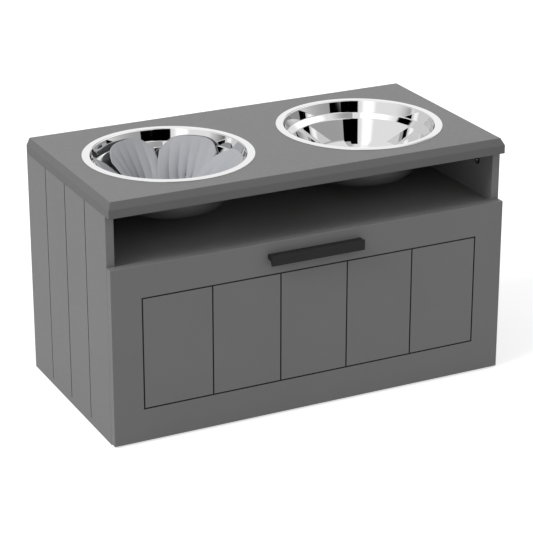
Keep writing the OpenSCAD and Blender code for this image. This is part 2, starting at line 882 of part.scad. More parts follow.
module insert_suction_cup() {
    color(lavender) translate([-bowl_pitch / 2, 0, bowl_floor]) rotate_extrude() polygon(concat(
        [[0, cup_h - 1.5 * cup_wall], [cup_r - cup_flat, cup_h - 2 * cup_wall], [cup_r - cup_edge, 0],
         [cup_r, 0], [cup_r - cup_slope, cup_h - cup_wall], [cup_r - cup_flat, cup_h],
         [stem_r, cup_h], [stem_r, cup_h + hub_t], [knob_r, cup_h + hub_t]],
        [for (a = [15:15:90]) [knob_r * cos(a), cup_h + hub_t + knob_h * sin(a)]]));
}

top_panel();
left_side_panel();
right_side_panel();
back_panel();
shelf_panel();
bottom_panel();
cabinet_cam_bolts();
cabinet_cam_discs();
cabinet_dowels();
back_screws();
cabinet_left_runner();
cabinet_right_runner();
cabinet_runner_screws();
cabinet_roller_pins();
front_left_roller();
front_right_roller();
drawer_front();
drawer_left_side();
drawer_right_side();
drawer_back();
drawer_bottom();
drawer_cam_bolts();
drawer_cam_discs();
drawer_dowels();
drawer_screws();
drawer_left_runner();
drawer_right_runner();
drawer_runner_screws();
drawer_roller_pins();
rear_left_roller();
rear_right_roller();
handle();
handle_screws();
left_bowl();
right_bowl();
insert_petals();
insert_suction_cup();
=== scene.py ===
import json
import math

import bmesh
import bpy
import numpy as np
from bpy.props import FloatProperty, FloatVectorProperty, IntProperty, PointerProperty
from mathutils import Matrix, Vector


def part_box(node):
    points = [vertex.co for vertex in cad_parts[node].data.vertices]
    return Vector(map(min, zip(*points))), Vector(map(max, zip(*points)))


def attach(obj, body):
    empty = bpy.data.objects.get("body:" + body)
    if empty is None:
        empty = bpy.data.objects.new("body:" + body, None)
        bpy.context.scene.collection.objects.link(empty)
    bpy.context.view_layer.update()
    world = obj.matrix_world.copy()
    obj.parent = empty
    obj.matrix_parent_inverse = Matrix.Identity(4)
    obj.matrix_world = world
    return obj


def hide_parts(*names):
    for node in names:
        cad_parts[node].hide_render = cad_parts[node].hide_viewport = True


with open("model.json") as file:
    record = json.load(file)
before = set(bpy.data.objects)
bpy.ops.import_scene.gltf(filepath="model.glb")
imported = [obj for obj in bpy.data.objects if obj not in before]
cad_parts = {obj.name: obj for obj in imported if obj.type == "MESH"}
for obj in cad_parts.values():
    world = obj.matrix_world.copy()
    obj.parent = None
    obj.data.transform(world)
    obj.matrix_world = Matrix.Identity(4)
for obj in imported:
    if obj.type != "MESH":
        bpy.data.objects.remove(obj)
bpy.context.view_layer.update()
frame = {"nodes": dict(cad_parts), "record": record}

bl_info = {
    "name": "Raised Pet Feeder",
    "version": (1, 0, 0),
    "blender": (4, 5, 0),
    "location": "3D View > Sidebar > Feeder",
    "description": "Dresses the packed feeder cabinet with fine surfaces, finishes and a studio",
    "category": "Object",
}

TOP_LOW, TOP_HIGH = (np.array(c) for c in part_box("top_panel"))
HANDLE_LOW, HANDLE_HIGH = (np.array(c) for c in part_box("handle"))
BOWL_LOW, BOWL_HIGH = (np.array(c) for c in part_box("right_bowl"))
RECORD_COLOURS = {m["slot"]: tuple(m["base_color"]) for m in frame["record"]["materials"]}


def length(name, description, default, soft_max=0.1):
    """A size in metres for the sidebar."""
    return FloatProperty(name=name, description=description, default=default, min=0.0,
                         soft_max=soft_max, unit="LENGTH", precision=5)


def tint(name, description, default):
    """A linear colour for the sidebar."""
    return FloatVectorProperty(name=name, description=description, default=default,
                               min=0.0, max=1.0, size=3, subtype="COLOR")


class FeederSizes(bpy.types.PropertyGroup):
    """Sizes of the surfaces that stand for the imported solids."""

    top_round: length("Top edge round", "Round on the table top's edges", 0.0008)
    board_round: length("Board edge round", "Round on the boards' sawn edges", 0.0005)
    groove_round: length("Groove edge round", "Round on the mouth of a plank groove", 0.00012)
    chamfer_in: length("Chamfer in", "How far the table top's chamfer cuts in", 0.005)
    chamfer_down: length("Chamfer down", "How far the table top's chamfer cuts down", 0.010)
    hole_r: length("Hole radius", "Radius of a bowl's hole in the table top", 0.1108, 0.2)
    bowl_r: length("Bowl radius", "Inner radius of a bowl at its rim", 0.108, 0.2)
    rim_rise: length("Rim rise", "How far the rim rises from its edge to the bowl's mouth", 0.0004)
    wall_h: length("Wall height", "Height of the steep wall under the rim", 0.016)
    wall_in: length("Wall draw", "How far the steep wall draws in", 0.004)
    ledge_w: length("Ledge width", "Width of the sloping ledge", 0.008)
    ledge_drop: length("Ledge drop", "Drop of the sloping ledge", 0.007)
    basin_r: length("Basin radius", "Radius where the basin's wall would meet its floor", 0.080)
    basin_corner: length("Basin corner", "Round between the basin's wall and floor", 0.028)
    sheet: length("Steel sheet", "Sheet thickness of the bowls", 0.0008)
    petals: IntProperty(name="Petals", description="Number of petals on the insert",
                        default=6, min=3, max=10)
    petal_turn: FloatProperty(name="Petal turn", description="Turn of the first petal from +X",
                              default=math.radians(46), subtype="ANGLE")
    petal_foot_r: length("Petal foot radius", "Distance of a petal's foot from the middle", 0.065)
    petal_tip_r: length("Petal tip radius", "Distance of a petal's tip from the middle", 0.1)
    petal_foot_w: length("Petal foot width", "Width of a petal at its foot", 0.034)
    petal_w: length("Petal width", "Width of a petal at its widest", 0.09)
    petal_t: length("Petal thickness", "Thickness of a petal", 0.0024)
    petal_scoop: length("Petal scoop", "How far a petal's foot bends round towards the middle", 0.03)
    petal_lead: length("Petal lead", "How far one side of a petal leads the other", 0.005)
    pleats: IntProperty(name="Pleats", description="Number of pleats on a petal",
                        default=6, min=1, max=12)
    pleat_h: length("Pleat height", "Height of a pleat at the petal's foot", 0.002)
    base_r: length("Base radius", "Radius of the insert's round base", 0.068)
    base_t: length("Base thickness", "Thickness of the insert's round base", 0.003)
    lip_t: length("Handle lip", "Thickness of the handle's front lip", 0.002)
    web_drop: length("Web drop", "Step from the handle's lip down to its web", 0.001)
    web_h: length("Web height", "Height of the handle's web", 0.007)


class FeederColours(bpy.types.PropertyGroup):
    """Base colours of the finishes, as linear values."""

    paint: tint("Paint", "Grey paint of the boards", (0.205, 0.205, 0.205))
    # A darker paint than the boards', on the table top's chamfer and milled edges
    edge: tint("Edge", "Paint on the table top's milled edges", (0.146, 0.146, 0.146))
    # Painted shade: the groove colour is a near-black paint that stands for the shade down in the plank
    # grooves
    groove: tint("Groove", "Paint down in the plank grooves", (0.019, 0.019, 0.019))
    hardboard: tint("Hardboard", "Thin painted fibreboard", (0.26, 0.26, 0.26))
    steel: tint("Steel", "Polished stainless steel", (0.80, 0.80, 0.80))
    zinc: tint("Zinc", "Zinc plate of the fasteners", RECORD_COLOURS["zinc_steel"])
    runner: tint("Runner", "Powder coat of the runners", (0.72, 0.72, 0.70))
    nylon: tint("Nylon", "Nylon of the rollers", (0.80, 0.80, 0.77))
    beech: tint("Beech", "Bare beech of the dowels", RECORD_COLOURS["dowel_wood"])
    handle: tint("Handle", "Black anodised aluminium", (0.018, 0.018, 0.020))
    silicone: tint("Silicone", "Grey silicone of the insert", (0.41, 0.415, 0.438))


# Surfaces

# Steps round the table top's holes, a bowl, the insert's base, its cup and a roller
TOP_STEPS, BOWL_STEPS, BASE_STEPS, CUP_STEPS, ROLLER_STEPS = 192, 256, 128, 96, 64

# Radius at which a spun piece's surface map measures the turn
SPUN_MAP_R = 0.1

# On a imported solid, the shortest edge and the least bend (in radians) to be rounded,
# and how closely the normals of a square edge's faces keep to an axis
LONG_EDGE, LEAST_BEND, SQUARE = 0.004, 0.4, 0.999

# These pick the faces that take the painted groove shade
# A groove's walls: how deep their middles lie, at least and at most, and the most
# that their normals may point out of the board
GROOVE_LEAST, GROOVE_MOST, GROOVE_LEAN = 0.0001, 0.002, 0.99

# Round on the edges of the sheet-steel runners
RUNNER_ROUND = 0.0002


def rounded(corners, radii, step=5.0, closed=False):
    """A line of corners, each turned into an arc that touches both its legs: the
    arc's middle lies on the corner's bisector, at radius / sin(half the angle)."""
    line = np.asarray(corners, float)
    out = []
    for i, (corner, radius) in enumerate(zip(line, radii)):
        if radius == 0 or (not closed and i in (0, len(line) - 1)):
            out.append(corner[None])
            continue
        a = line[i - 1] - corner
        b = line[(i + 1) % len(line)] - corner
        a, b = a / np.linalg.norm(a), b / np.linalg.norm(b)
        half = math.acos(float(np.clip(a @ b, -1, 1))) / 2
        middle = corner + (a + b) / np.linalg.norm(a + b) * radius / math.sin(half)
        start = corner + a * radius / math.tan(half) - middle
        sense = np.sign(a[0] * b[1] - a[1] * b[0])
        steps = max(2, math.ceil(math.degrees(math.pi - 2 * half) / step))
        t = -sense * (math.pi - 2 * half) * np.linspace(0, 1, steps + 1)
        out.append(middle + np.stack([start[0] * np.cos(t) - start[1] * np.sin(t),
                                      start[0] * np.sin(t) + start[1] * np.cos(t)], 1))
    return np.vstack(out)


def beside(line, distance):
    """The line moved sideways: each point goes along the mean of its legs' normals,
    further where the legs bend, so that the gap stays even."""
    legs = np.diff(line, axis=0)
    normals = np.stack([-legs[:, 1], legs[:, 0]], 1) / np.linalg.norm(legs, axis=1)[:, None]
    before, after = np.vstack([normals[:1], normals]), np.vstack([normals, normals[-1:]])
    mean = before + after
    mean /= np.linalg.norm(mean, axis=1)[:, None]
    return line + mean * (distance / np.maximum(0.5, (mean * before).sum(1)))[:, None]


def running(line):
    """Distance along the line from its start to each of its points."""
    return np.concatenate([[0.0], np.cumsum(np.linalg.norm(np.diff(line, axis=0), axis=1))])


def grid(points, across=None, along=None):
    """Rows and columns of points become quads: a quad joins a point, the next one
    in its row, and the two above them. The surface map holds across and along."""
    rows, cols = points.shape[:2]
    corner = (np.arange(rows - 1)[:, None] * cols + np.arange(cols - 1)[None, :]).ravel()
    faces = np.stack([corner, corner + 1, corner + cols + 1, corner + cols], 1)
    across = np.arange(cols) / (cols - 1) if across is None else across
    along = np.arange(rows) / (rows - 1) if along is None else along
    flat_map = np.stack(np.broadcast_arrays(np.atleast_2d(across), np.atleast_1d(along)[:, None]), -1)
    return points.reshape(-1, 3), faces, flat_map.reshape(-1, 2)


def piece(name, parts, finish, sharp=40.0, outward=True):
    """Grids of points become one mesh object at the origin. Doubled points at seams
    and poles are merged, then the faces are turned outwards."""
    points, faces, maps, start = [], [], [], 0
    for part_points, part_faces, part_map in parts:
        points.append(part_points)
        faces.append(part_faces + start)
        maps.append(part_map)
        start += len(part_points)
    points, faces, maps = np.vstack(points), np.vstack(faces), np.vstack(maps)
    mesh = bpy.data.meshes.new(name)
    mesh.from_pydata(points, [], faces)
    layer = mesh.uv_layers.new(name="surface")
    layer.uv.foreach_set("vector", maps[faces.ravel()].astype(np.float32).ravel())
    mesh.materials.append(finish)
    bm = bmesh.new()
    bm.from_mesh(mesh)
    bmesh.ops.remove_doubles(bm, verts=bm.verts, dist=2e-6)
    bmesh.ops.dissolve_degenerate(bm, edges=bm.edges, dist=1e-7)
    if outward:
        bmesh.ops.recalc_face_normals(bm, faces=bm.faces)
    bm.to_mesh(mesh)
    bm.free()
    mesh.shade_smooth()
    mesh.set_sharp_from_angle(angle=math.radians(sharp))
    thing = bpy.data.objects.new(name, mesh)
    bpy.context.collection.objects.link(thing)
    return thing


def spun(line, middle, steps):
    """A surface of revolution: each point of a line of radius and height goes
    round the upright axis through the middle. Its map's across is the turn,
    measured at SPUN_MAP_R."""
    t = np.linspace(0, 2 * math.pi, steps + 1)
    r, z = line[:, 0][:, None], line[:, 1][:, None]
    x, y = middle[0] + r * np.cos(t), middle[1] + r * np.sin(t)
    points = np.stack(np.broadcast_arrays(x, y, middle[2] + z), -1)
    return grid(points, across=t * SPUN_MAP_R, along=running(line))


def carried(outline, low, high):
    """A closed outline of Y and Z points, carried along X from low to high, with
    both ends filled by rings that shrink to the outline's middle."""
    loop = np.vstack([outline, outline[:1]])
    middle = outline.mean(0)
    stations = [(low, 0.0), (low, 1.0), (high, 1.0), (high, 0.0)]
    rows = [np.column_stack([np.full(len(loop), x), middle + (loop - middle) * size])
            for x, size in stations]
    return grid(np.stack(rows), across=running(loop), along=np.linspace(0, high - low, len(rows)))


def rides(thing, body, slot, *nodes):
    """The piece moves with its body and stands for nodes, which are hidden. The slot is not used."""
    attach(thing, body)
    if nodes:
        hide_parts(*nodes)
    return thing


def soften(thing, width, limit="ANGLE", angle=18.0, segments=3):
    """Rounds a piece's edges and keeps its flat faces flat in the shading."""
    bevel = thing.modifiers.new("edges", "BEVEL")
    bevel.width = width
    bevel.segments = segments
    bevel.limit_method = limit
    bevel.angle_limit = math.radians(angle)
    bevel.use_clamp_overlap = False
    bevel.harden_normals = True
    return bevel


def in_groove(axis, outer):
    """Picks the walls of grooves that are cut into the board's face at outer, the faces that take the
    painted shade of the grooves.
    """
    def picks(face):
        depth = abs(face.calc_center_median()[axis] - outer)
        return GROOVE_LEAST < depth < GROOVE_MOST and abs(face.normal[axis]) < GROOVE_LEAN

    return picks


def dressed(node, slot, body, finishes, width, groove_width=0.0, groove_faces=None):
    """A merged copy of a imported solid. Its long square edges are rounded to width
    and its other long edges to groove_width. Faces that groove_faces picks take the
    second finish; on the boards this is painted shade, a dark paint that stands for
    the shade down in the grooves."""
    bm = bmesh.new()
    bm.from_mesh(frame["nodes"][node].data)
    bmesh.ops.remove_doubles(bm, verts=bm.verts, dist=1e-6)
    bmesh.ops.dissolve_limit(bm, angle_limit=math.radians(0.4), verts=bm.verts, edges=bm.edges)
    weight = bm.edges.layers.float.new("bevel_weight_edge")
    for edge in bm.edges:
        joins = len(edge.link_faces) == 2 and edge.calc_length() >= LONG_EDGE
        if joins and edge.calc_face_angle() >= LEAST_BEND:
            square = all(max(abs(c) for c in f.normal) > SQUARE for f in edge.link_faces)
            edge[weight] = 1.0 if square else groove_width / width
    for face in bm.faces:
        face.smooth = True
        face.material_index = int(bool(groove_faces and groove_faces(face)))
    mesh = bpy.data.meshes.new(node + "_dressed")
    bm.to_mesh(mesh)
    bm.free()
    for finish in finishes:
        mesh.materials.append(finish)
    mesh.set_sharp_from_angle(angle=math.radians(20))
    thing = bpy.data.objects.new(node + "_dressed", mesh)
    bpy.context.collection.objects.link(thing)
    soften(thing, width, "WEIGHT", segments=2)
    flat = thing.modifiers.new("flat faces", "WEIGHTED_NORMAL")
    flat.keep_sharp = True
    return rides(thing, body, slot, node)


# Finishes

class Finish:
    """A node material that is built up step by step."""

    # The range that a noise's values seldom leave
    START, END = 0.3, 0.7

    def __init__(self, name, **sockets):
        self.material = bpy.data.materials.new(name)
        self.material.use_nodes = True
        self.nodes = self.material.node_tree.nodes
        self.links = self.material.node_tree.links
        self.shader = self.nodes["Principled BSDF"]
        coords = self.nodes.new("ShaderNodeTexCoord")
        self.place, self.surface = coords.outputs["Object"], coords.outputs["UV"]
        for socket, value in sockets.items():
            self.shader.inputs[socket.replace("_", " ")].default_value = value

    def stretch(self, scale, source=None):
        """The place, stretched so that a pattern runs along one way."""
        node = self.nodes.new("ShaderNodeMapping")
        node.inputs["Scale"].default_value = scale
        self.links.new(source or self.place, node.inputs["Vector"])
        return node.outputs["Vector"]

    def noise(self, scale, detail=2.0, roughness=0.5, at=None):
        """Cloudy values round one half, as many clouds to the metre as scale."""
        node = self.nodes.new("ShaderNodeTexNoise")
        node.inputs["Scale"].default_value = scale
        node.inputs["Detail"].default_value = detail
        node.inputs["Roughness"].default_value = roughness
        self.links.new(at or self.place, node.inputs["Vector"])
        return node.outputs["Fac"]

    def spread(self, value, low, high):
        """A noise's usual values, laid over low to high."""
        node = self.nodes.new("ShaderNodeMapRange")
        ends = {"From Min": self.START, "From Max": self.END, "To Min": low, "To Max": high}
        for socket, number in ends.items():
            node.inputs[socket].default_value = number
        self.links.new(value, node.inputs["Value"])
        return node.outputs["Result"]

    def shades(self, value, dark, light):
        """A noise's usual values as a run from a dark colour to a light one."""
        node = self.nodes.new("ShaderNodeValToRGB")
        ramp = node.color_ramp.elements
        ramp[0].position, ramp[1].position = self.START, self.END
        ramp[0].color, ramp[1].color = (*dark, 1.0), (*light, 1.0)
        self.links.new(value, node.inputs["Fac"])
        return node.outputs["Color"]

    def relief(self, value, strength, depth, under=None):
        """The pattern as a height, in metres, on top of an earlier relief."""
        node = self.nodes.new("ShaderNodeBump")
        node.inputs["Strength"].default_value = strength
        node.inputs["Distance"].default_value = depth
        self.links.new(value, node.inputs["Height"])
        if under:
            self.links.new(under, node.inputs["Normal"])
        return node.outputs["Normal"]

    def set(self, **sources):
        """Links sources to the shader's sockets of those names."""
        for socket, source in sources.items():
            self.links.new(source, self.shader.inputs[socket.replace("_", " ")])
        return self


def around(colour, share):
    """The colour made darker and lighter by a share of itself."""
    return [c * (1 - share) for c in colour], [min(1.0, c * (1 + share)) for c in colour]


def paint_finish(name, colour):
    """Sprayed satin paint on fibreboard: a fine orange peel, faint cloudy shade."""
    f = Finish(name, Specular_IOR_Level=0.2)
    clouds = f.noise(7.0, 3.0)
    peel = f.noise(650.0, 2.0, 0.45)
    fibre = f.noise(140.0, 4.0, 0.6)
    return f.set(Base_Color=f.shades(clouds, *around(colour, 0.02)),
                 Roughness=f.spread(fibre, 0.41, 0.51),
                 Normal=f.relief(peel, 0.10, 0.0004, f.relief(fibre, 0.05, 0.0006))).material


def hardboard_finish(name, colour):
    """Thin fibreboard with a matt coat: short fibres show through it."""
    f = Finish(name, Specular_IOR_Level=0.25)
    fibre = f.noise(420.0, 5.0, 0.65, f.stretch((0.35, 1.0, 1.0)))
    mottle = f.noise(25.0, 4.0, 0.6)
    return f.set(Base_Color=f.shades(mottle, *around(colour, 0.05)),
                 Roughness=f.spread(fibre, 0.55, 0.7),
                 Normal=f.relief(fibre, 0.18, 0.0003)).material


def steel_finish(name, colour):
    """Mirror-polished steel: hair-fine buffing lines that run round the bowl vary
    its gloss a little."""
    f = Finish(name, Metallic=1.0)
    lines = f.noise(1.0, 3.0, 0.6, f.stretch((6.0, 2600.0, 1.0), f.surface))
    haze = f.noise(16.0, 3.0)
    return f.set(Base_Color=f.shades(haze, *around(colour, 0.01)),
                 Roughness=f.spread(lines, 0.015, 0.035)).material


def zinc_finish(name, colour):
    """Bright zinc plate with a faint crystal bloom."""
    f = Finish(name, Metallic=1.0)
    bloom = f.noise(900.0, 3.0)
    return f.set(Base_Color=f.shades(bloom, *around(colour, 0.08)),
                 Roughness=f.spread(bloom, 0.22, 0.38),
                 Normal=f.relief(bloom, 0.08, 0.0001)).material


def coat_finish(name, colour):
    """Powder coat on sheet steel: low, close bumps."""
    f = Finish(name, Specular_IOR_Level=0.5)
    bumps = f.noise(1100.0, 2.0)
    return f.set(Base_Color=f.shades(f.noise(30.0), *around(colour, 0.02)),
                 Roughness=f.spread(bumps, 0.32, 0.42),
                 Normal=f.relief(bumps, 0.14, 0.0002)).material


def nylon_finish(name, colour):
    """Moulded nylon: waxy, a little light passes into it."""
    f = Finish(name, Subsurface_Weight=0.15, Subsurface_Scale=0.002)
    skin = f.noise(500.0, 3.0)
    return f.set(Base_Color=f.shades(f.noise(80.0), *around(colour, 0.02)),
                 Roughness=f.spread(skin, 0.38, 0.5),
                 Normal=f.relief(skin, 0.06, 0.0002)).material


def beech_finish(name, colour):
    """Bare beech: straight grain with short dark flecks."""
    f = Finish(name, Specular_IOR_Level=0.3)
    grain = f.noise(260.0, 5.0, 0.65, f.stretch((0.1, 1.0, 1.0)))
    return f.set(Base_Color=f.shades(grain, *around(colour, 0.22)),
                 Roughness=f.spread(grain, 0.6, 0.75),
                 Normal=f.relief(grain, 0.15, 0.0003)).material


def anodised_finish(name, colour):
    """Black anodised aluminium: drawn lines along its length under a satin skin."""
    f = Finish(name, Metallic=0.35, Specular_IOR_Level=0.5)
    drawn = f.noise(900.0, 3.0, 0.6, f.stretch((0.02, 1.0, 1.0)))
    return f.set(Base_Color=f.shades(drawn, *around(colour, 0.2)),
                 Roughness=f.spread(drawn, 0.30, 0.42),
                 Normal=f.relief(drawn, 0.08, 0.0001)).material


def silicone_finish(name, colour):
    """Moulded silicone: a soft satin skin that lets a little light in."""
    f = Finish(name, Subsurface_Weight=0.05, Subsurface_Scale=0.002, Specular_IOR_Level=0.35)
    skin = f.noise(700.0, 3.0)
    return f.set(Base_Color=f.shades(f.noise(30.0), *around(colour, 0.02)),
                 Roughness=f.spread(skin, 0.45, 0.55),
                 Normal=f.relief(skin, 0.07, 0.0002)).material


FINISHES = {
    "paint": (paint_finish, "paint"),
    "edge_paint": (paint_finish, "edge"),
    # Painted shade: this dark paint on the groove walls stands for the shade down in the grooves
    "groove_paint": (paint_finish, "groove"),
    "hardboard": (hardboard_finish, "hardboard"),
    "mirror_steel": (steel_finish, "steel"),
    "zinc_plate": (zinc_finish, "zinc"),
    "powder_coat": (coat_finish, "runner"),
    "nylon": (nylon_finish, "nylon"),
    "beech": (beech_finish, "beech"),
    "anodised_black": (anodised_finish, "handle"),
    "silicone": (silicone_finish, "silicone"),
}


def finish(name):
    """The finish of that name, made on first use from the sidebar's colour."""
    if name not in bpy.data.materials:
        make, colour = FINISHES[name]
        make(name, tuple(getattr(bpy.context.scene.feeder_colours, colour)))
    return bpy.data.materials[name]


def coat_nodes(name, *nodes):
    """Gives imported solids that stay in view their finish."""
    for node in nodes:
        thing = frame["nodes"][node]
        for slot in thing.material_slots:
            slot.material = finish(name)


# Stage

# The strength of the even light on everything but reflections
STUDIO_EVEN = 0.61

# The studio as a reflection shows it: its brightness between the cards, and each
# card's turn and height in degrees, both from low to high, the softness of its edge
# and its brightness. A turn of 0 looks towards the back of the cabinet and 90 to
# its right. Each card covers the ones above it in this list.
STUDIO_BASE = 0.90
STUDIO_CARDS = [
    (68.0, 112.0, 26.0, 68.0, 6.0, 1.4),
    (102.0, 200.0, 3.0, 24.0, 6.0, 0.40),
    (-58.0, 4.0, 0.0, 40.0, 3.0, 0.72),
    (6.0, 38.0, -10.0, 45.0, 2.0, 1.05),
    (-145.0, -128.0, -10.0, 56.0, 5.0, 1.4),
    (-200.0, -165.0, 20.0, 62.0, 6.0, 0.50),
    (-200.0, -153.0, -10.0, 31.0, 1.0, 0.0),
    (-168.0, -153.0, 30.0, 48.0, 1.0, 0.0),
    (34.0, 60.0, 24.0, 41.0, 2.0, 0.10),
    (-50.0, -30.0, 42.0, 60.0, 2.0, 0.0),
    (86.0, 200.0, 68.0, 90.0, 6.0, 0.40),
    (-146.0, -44.0, 62.0, 90.0, 7.0, 1.4),
    (162.0, 200.0, -10.0, 10.0, 0.6, 0.0),
    (-92.0, -64.0, -10.0, 4.0, 4.0, 0.0),
]

# The floor's half width, its height just under the cabinet, its darkest and
# lightest shade, and its glow to the camera
FLOOR_REACH, FLOOR_Z = 6, -0.0002
FLOOR_DARK, FLOOR_LIGHT, FLOOR_GLOW = 0.60, 0.62, 0.62

# The lamp's strength, its width in degrees, and the way towards it
LAMP_ENERGY, LAMP_WIDTH = 1.70, 28
LAMP_TOWARDS = (-0.757, -0.08, 0.648)

# The photograph's camera: focal length in pixels, place, and angles in degrees
PHOTO_WIDTH, FOCAL_PIXELS = 533, 2135.74
CAMERA_PLACE = (-1.26042, -2.54577, 1.29081)
CAMERA_DIP, CAMERA_TURN = 21.7612, -26.3623


class StageBuilder(bpy.types.Operator):
    """Floor, world, lamp and the camera at the photograph's place"""

    bl_idname = "feeder.stage"
    bl_label = "Stage"

    def execute(self, context):
        self.floor()
        self.world(context.scene)
        self.lamps()
        self.camera(context.scene)
        context.scene.view_settings.view_transform = "Standard"
        return {"FINISHED"}

    def floor(self):
        """A flat pale sheet; to the camera its lit part is white and its shade pale."""
        side = np.linspace(-FLOOR_REACH, FLOOR_REACH, 7)
        x, y = np.meshgrid(side, side)
        f = Finish("floor_sheet", Roughness=0.9, Specular_IOR_Level=0.1)
        f.set(Base_Color=f.shades(f.noise(3.0), (FLOOR_DARK,) * 3, (FLOOR_LIGHT,) * 3))
        rays = f.nodes.new("ShaderNodeLightPath")
        glow = f.nodes.new("ShaderNodeEmission")
        glow.inputs["Strength"].default_value = FLOOR_GLOW
        add = f.nodes.new("ShaderNodeAddShader")
        mix = f.nodes.new("ShaderNodeMixShader")
        out = f.nodes["Material Output"]
        f.links.new(f.shader.outputs[0], add.inputs[0])
        f.links.new(glow.outputs[0], add.inputs[1])
        f.links.new(rays.outputs["Is Camera Ray"], mix.inputs[0])
        f.links.new(f.shader.outputs[0], mix.inputs[1])
        f.links.new(add.outputs[0], mix.inputs[2])
        f.links.new(mix.outputs[0], out.inputs["Surface"])
        points = np.stack([x, y, np.full_like(x, FLOOR_Z)], -1)
        sheet = piece("floor_sheet", [grid(points)], f.material)

    def world(self, scene):
        """White to the camera, soft cards and black flags to a reflection, and an
        even grey light on everything else."""
        world = bpy.data.worlds.new("studio")
        world.use_nodes = True
        nodes, links = world.node_tree.nodes, world.node_tree.links
        nodes.clear()

        def math_node(operation, first, second=None, clamp=False):
            node = nodes.new("ShaderNodeMath")
            node.operation = operation
            node.use_clamp = clamp
            for socket, value in zip(node.inputs, (first, second)):
                if isinstance(value, (int, float)):
                    socket.default_value = value
                elif value is not None:
                    links.new(value, socket)
            return node.outputs[0]

        def rise(value, edge, soft):
            node = nodes.new("ShaderNodeMapRange")
            node.interpolation_type = "SMOOTHSTEP"
            node.inputs["From Min"].default_value = edge - soft
            node.inputs["From Max"].default_value = edge + soft
            links.new(value, node.inputs["Value"])
            return node.outputs["Result"]

        towards = nodes.new("ShaderNodeTexCoord").outputs["Generated"]
        split = nodes.new("ShaderNodeSeparateXYZ")
        links.new(towards, split.inputs[0])
        degree = 180 / math.pi
        turn = math_node("ARCTAN2", split.outputs["X"], split.outputs["Y"])
        turn = math_node("MULTIPLY", turn, degree)
        height = math_node("MULTIPLY", math_node("ARCSINE", split.outputs["Z"]), degree)
        level = None
        for left, right, low, high, soft, bright in STUDIO_CARDS:
            inside = rise(turn, left, soft)
            if right < 180:
                inside = math_node("SUBTRACT", inside, rise(turn, right, soft), True)
            inside = math_node("MULTIPLY", inside, rise(height, low, soft))
            inside = math_node("MULTIPLY", inside, math_node("SUBTRACT", 1.0, rise(height, high, soft)))
            mix = nodes.new("ShaderNodeMix")
            mix.data_type = "FLOAT"
            links.new(inside, mix.inputs[0])
            if level is None:
                mix.inputs[2].default_value = STUDIO_BASE
            else:
                links.new(level, mix.inputs[2])
            mix.inputs[3].default_value = bright
            level = mix.outputs[0]
        rays = nodes.new("ShaderNodeLightPath")
        seen, mirrored, even = (nodes.new("ShaderNodeBackground") for _ in range(3))
        for light in (seen, mirrored, even):
            light.inputs["Color"].default_value = (1, 1, 1, 1)
        even.inputs["Strength"].default_value = STUDIO_EVEN
        links.new(level, mirrored.inputs["Strength"])
        first, second = nodes.new("ShaderNodeMixShader"), nodes.new("ShaderNodeMixShader")
        links.new(rays.outputs["Is Glossy Ray"], first.inputs[0])
        links.new(even.outputs[0], first.inputs[1])
        links.new(mirrored.outputs[0], first.inputs[2])
        clear = math_node("MAXIMUM", rays.outputs["Is Camera Ray"], rays.outputs["Is Transmission Ray"])
        links.new(clear, second.inputs[0])
        links.new(first.outputs[0], second.inputs[1])
        links.new(seen.outputs[0], second.inputs[2])
        links.new(second.outputs[0], nodes.new("ShaderNodeOutputWorld").inputs["Surface"])
        scene.world = world

    def lamps(self):
        """One broad lamp from the upper left, a little in front."""
        lamp = bpy.data.lights.new("key_lamp", "SUN")
        lamp.energy = LAMP_ENERGY
        lamp.angle = math.radians(LAMP_WIDTH)
        holder = bpy.data.objects.new("key_lamp", lamp)
        bpy.context.collection.objects.link(holder)
        x, y, z = LAMP_TOWARDS
        holder.rotation_euler = (math.acos(z), 0, math.atan2(x, -y))
        holder.visible_glossy = False

    def camera(self, scene):
        """The photograph's camera, found from the cabinet's corners and rims."""
        lens = bpy.data.cameras.new("view")
        lens.sensor_fit = "HORIZONTAL"
        lens.sensor_width = 36.0
        lens.lens = 36.0 * FOCAL_PIXELS / PHOTO_WIDTH
        lens.clip_start, lens.clip_end = 0.1, 60
        camera = bpy.data.objects.new("view", lens)
        camera.location = CAMERA_PLACE
        camera.rotation_euler = (math.radians(90 - CAMERA_DIP), 0, math.radians(CAMERA_TURN))
        bpy.context.collection.objects.link(camera)
        scene.camera = camera


# Builders

# The table top's milled faces reach this far inside its chamfer, and their normals
# are less upright than this
MILLED_REACH, UPRIGHT = 0.001, 0.9


